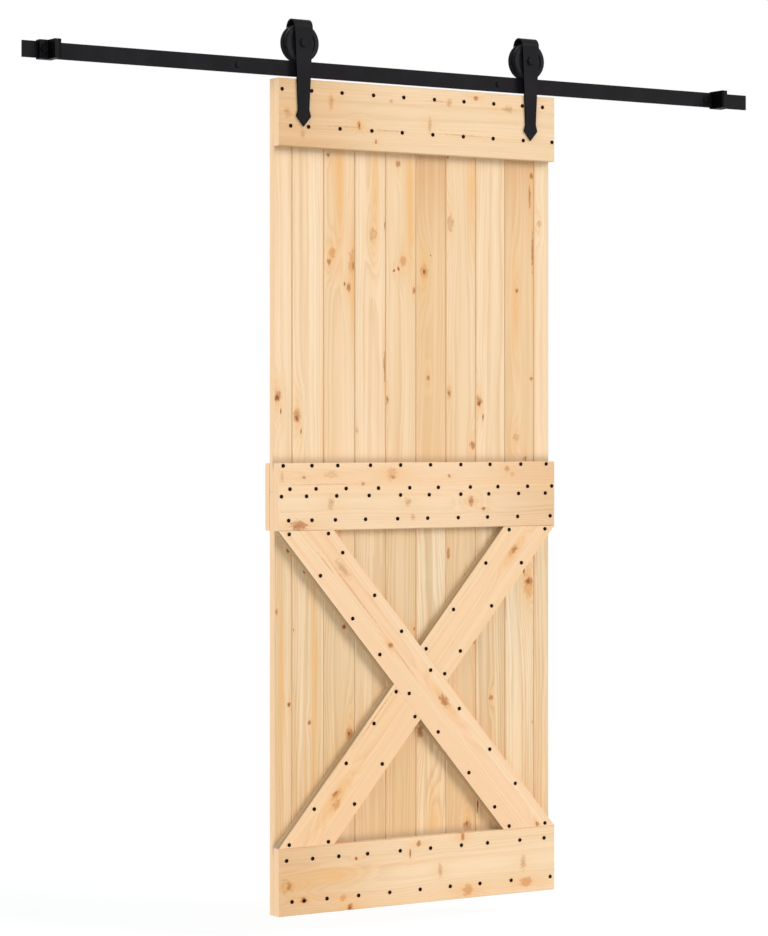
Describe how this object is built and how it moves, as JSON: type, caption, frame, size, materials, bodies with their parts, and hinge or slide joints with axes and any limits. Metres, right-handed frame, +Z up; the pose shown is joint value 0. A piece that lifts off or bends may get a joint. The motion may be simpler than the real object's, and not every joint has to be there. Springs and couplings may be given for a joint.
{
  "type": "sliding barn door",
  "caption": "Sliding barn door: a boarded pine leaf with rails and crossed braces, hung by strap hangers with grooved wheels on a flat wall track that ends in stops.",
  "frame": {"origin": "on the wall plane at the height of the track's middle, midway between the two end wall bolts", "axes": "+X along the track to the right as seen from the room, +Y into the wall, +Z up"},
  "size_m": [2.217, 0.158, 2.2524],
  "materials": {
    "pine_boards": "clear satin varnish",
    "pine_rails": "clear satin varnish",
    "black_steel": "black powder coat, satin",
    "nail_black": "black oxide",
    "bare_steel": "zinc plated",
    "stop_rubber": "matt"
  },
  "bodies": {
    "track": {"track_bar": "black_steel", "wall_bolts": "black_steel", "wall_washers": "black_steel", "wall_spacers": "black_steel", "left_stop_clamp": "black_steel", "right_stop_clamp": "black_steel", "left_stop_pad": "stop_rubber", "right_stop_pad": "stop_rubber", "stop_bolts": "black_steel"},
    "door": {"upper_board_1": "pine_boards", "upper_board_2": "pine_boards", "upper_board_3": "pine_boards", "upper_board_4": "pine_boards", "upper_board_5": "pine_boards", "upper_board_6": "pine_boards", "upper_board_7": "pine_boards", "upper_board_8": "pine_boards", "upper_board_9": "pine_boards", "upper_board_10": "pine_boards", "lower_board_1": "pine_boards", "lower_board_2": "pine_boards", "lower_board_3": "pine_boards", "lower_board_4": "pine_boards", "lower_board_5": "pine_boards", "lower_board_6": "pine_boards", "lower_board_7": "pine_boards", "lower_board_8": "pine_boards", "lower_board_9": "pine_boards", "lower_board_10": "pine_boards", "top_rail": "pine_rails", "middle_rail": "pine_rails", "bottom_rail": "pine_rails", "back_batten": "pine_rails", "brace_long": "pine_rails", "brace_upper": "pine_rails", "brace_lower": "pine_rails", "top_rail_nails": "nail_black", "middle_rail_nails": "nail_black", "bottom_rail_nails": "nail_black", "brace_nails": "nail_black", "batten_screws": "bare_steel", "left_strap": "black_steel", "right_strap": "black_steel", "strap_washers": "bare_steel", "strap_nuts": "bare_steel", "left_inner_ring": "bare_steel", "right_inner_ring": "bare_steel", "left_axle_bolt": "black_steel", "right_axle_bolt": "black_steel", "left_axle_nut": "black_steel", "right_axle_nut": "black_steel", "left_bushes": "bare_steel", "right_bushes": "bare_steel"},
    "wheel_left": {"left_wheel": "black_steel", "left_outer_ring": "bare_steel", "left_balls": "bare_steel"},
    "wheel_right": {"right_wheel": "black_steel", "right_outer_ring": "bare_steel", "right_balls": "bare_steel"}
  },
  "joints": [
    {"name": "door_slide", "type": "slide", "parent": "track", "child": "door", "axis": [1, 0, 0], "range_m": [-0.665, 0.597]},
    {"name": "left_wheel_roll", "type": "hinge", "parent": "door", "child": "wheel_left", "pos_m": [-0.3105, -0.0575, 0.0652], "axis": [0, 1, 0], "continuous": true},
    {"name": "right_wheel_roll", "type": "hinge", "parent": "door", "child": "wheel_right", "pos_m": [0.389, -0.0575, 0.0652], "axis": [0, 1, 0], "continuous": true}
  ],
  "couplings": [
    {"joint": "left_wheel_roll", "follows": "door_slide", "rad_per_m": 22.222},
    {"joint": "right_wheel_roll", "follows": "door_slide", "rad_per_m": 22.222}
  ]
}
